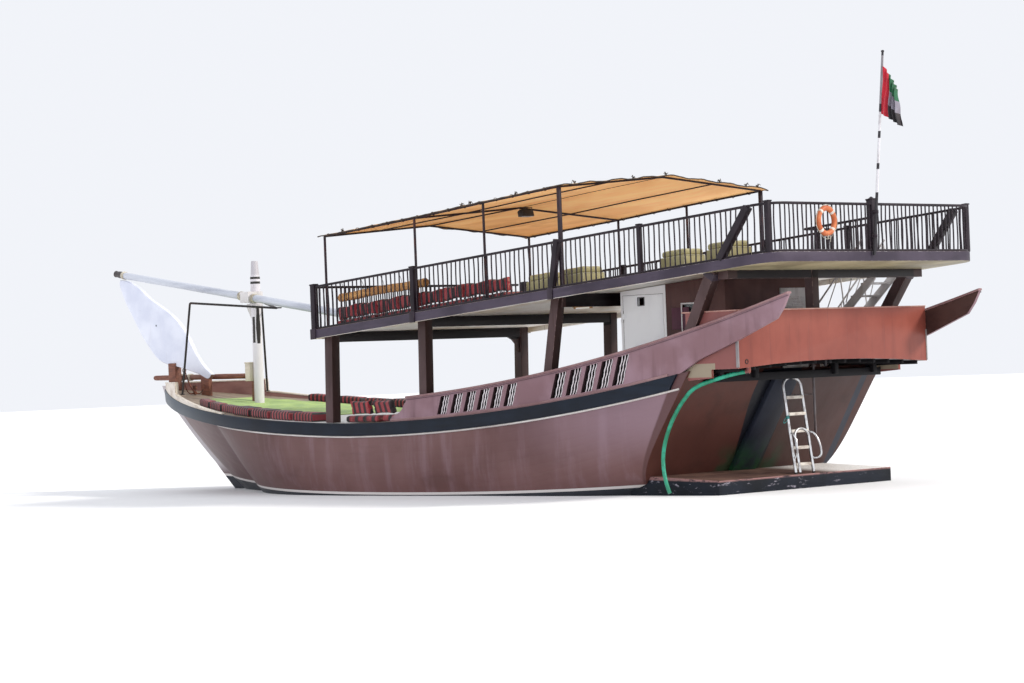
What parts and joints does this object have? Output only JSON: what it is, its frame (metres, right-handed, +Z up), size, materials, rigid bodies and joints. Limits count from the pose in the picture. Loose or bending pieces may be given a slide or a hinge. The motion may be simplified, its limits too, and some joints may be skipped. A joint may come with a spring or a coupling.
{
  "type": "dhow sailing boat with a passenger upper deck",
  "caption": "Wooden dhow fitted for passengers: plank hull, raking stem blade, stowed boom, railed upper deck with awning, stern platform, rudder and propeller.",
  "frame": {"origin": "on the centreline at the waterline, amidships", "axes": "+X towards the bow, +Y to port, +Z up"},
  "size_m": [24.9574, 6.89, 10.4318],
  "materials": {
    "hull_brown": "oiled and painted planks, brown with a plum tint",
    "navy_paint": "dark blue gloss paint on wood, scuffed",
    "cream_paint": "cream paint on wood",
    "white_paint": "white paint on wood",
    "rose_paint": "faded rose brown paint on wood",
    "plum_paint": "dark plum gloss paint on wood",
    "oiled_teak": "oiled teak",
    "dark_pipe": "dark painted steel pipe",
    "rusty_iron": "rusty galvanised iron",
    "aluminium": "brushed tube",
    "bronze": "cast propeller bronze",
    "engine_iron": "painted iron casting",
    "tan_canvas": "tan canvas that lets light through",
    "flag_cloth": "red, white and green cloth",
    "striped_cloth": "red and black striped weave",
    "khaki_cloth": "khaki cover on foam",
    "orange_plastic": "orange shell of a life ring",
    "lamp_cover": "milky lamp cover",
    "green_hose": "ribbed green discharge hose"
  },
  "bodies": {
    "boat": {"hull": "hull_brown", "keel_and_stem": "hull_brown", "rubbing_band_port": "navy_paint", "rubbing_band_starboard": "navy_paint", "washboard_port": "cream_paint", "washboard_starboard": "cream_paint", "stem_blade": "white_paint", "stemhead_post": "oiled_teak", "blade_chock": "oiled_teak", "bowsprit_log": "oiled_teak", "bowsprit_bitt": "oiled_teak", "mast": "white_paint", "boom_crutch": "dark_pipe", "anchor": "rusty_iron", "bulwark_port": "rose_paint", "bulwark_starboard": "rose_paint", "gallery_box": "rose_paint", "transom_casing": "navy_paint", "stern_platform": "navy_paint", "stern_ladder": "aluminium", "engine": "engine_iron", "hatch_coaming": "oiled_teak", "upper_deck": "plum_paint", "front_frame": "plum_paint", "second_frame": "plum_paint", "third_frame": "plum_paint", "aft_frame": "plum_paint", "rail_port": "plum_paint", "rail_starboard": "plum_paint", "rail_front": "plum_paint", "rail_aft": "plum_paint", "stairwell_rail": "plum_paint", "stairs": "white_paint", "cabin": "rose_paint", "awning_frame": "dark_pipe", "awning": "tan_canvas", "floodlight": "dark_pipe", "flagstaff": "white_paint", "flag": "flag_cloth", "life_ring": "orange_plastic", "ceiling_lamp_1": "lamp_cover", "ceiling_lamp_2": "lamp_cover", "bow_cushions_port": "striped_cloth", "bow_cushions_starboard": "striped_cloth", "rail_cushions_port": "striped_cloth", "rail_cushions_starboard": "striped_cloth", "bench_1": "khaki_cloth", "bench_2": "khaki_cloth", "bench_3": "khaki_cloth", "bench_4": "khaki_cloth", "rolled_awning": "tan_canvas", "hose": "green_hose"},
    "boom_assembly": {"boom": "white_paint", "boom_collar": "cream_paint"},
    "rudder_assembly": {"rudder": "hull_brown"},
    "propeller_assembly": {"propeller": "bronze"},
    "door": {"cabin_door": "white_paint"},
    "hatch_lid": {"engine_hatch": "oiled_teak"}
  },
  "joints": [
    {"name": "boom_slew", "type": "hinge", "parent": "boat", "child": "boom_assembly", "pos_m": [7.15, 0, 4.625], "axis": [0, 0, 1], "range_deg": [-40, 40]},
    {"name": "rudder_turn", "type": "hinge", "parent": "boat", "child": "rudder_assembly", "pos_m": [-7.2, 0, -1], "axis": [0, 0, 1], "range_deg": [-35, 35]},
    {"name": "propeller_spin", "type": "hinge", "parent": "boat", "child": "propeller_assembly", "pos_m": [-6.62, 0, -1.08], "axis": [1, 0, 0], "continuous": true},
    {"name": "cabin_door_swing", "type": "hinge", "parent": "boat", "child": "door", "pos_m": [-6.12, 1.514, 3], "axis": [0, 0, -1], "range_deg": [0, 100]},
    {"name": "engine_hatch_lift", "type": "hinge", "parent": "boat", "child": "hatch_lid", "pos_m": [-2.88, 0, 1.9304], "axis": [0, 1, 0], "range_deg": [0, 85]}
  ]
}
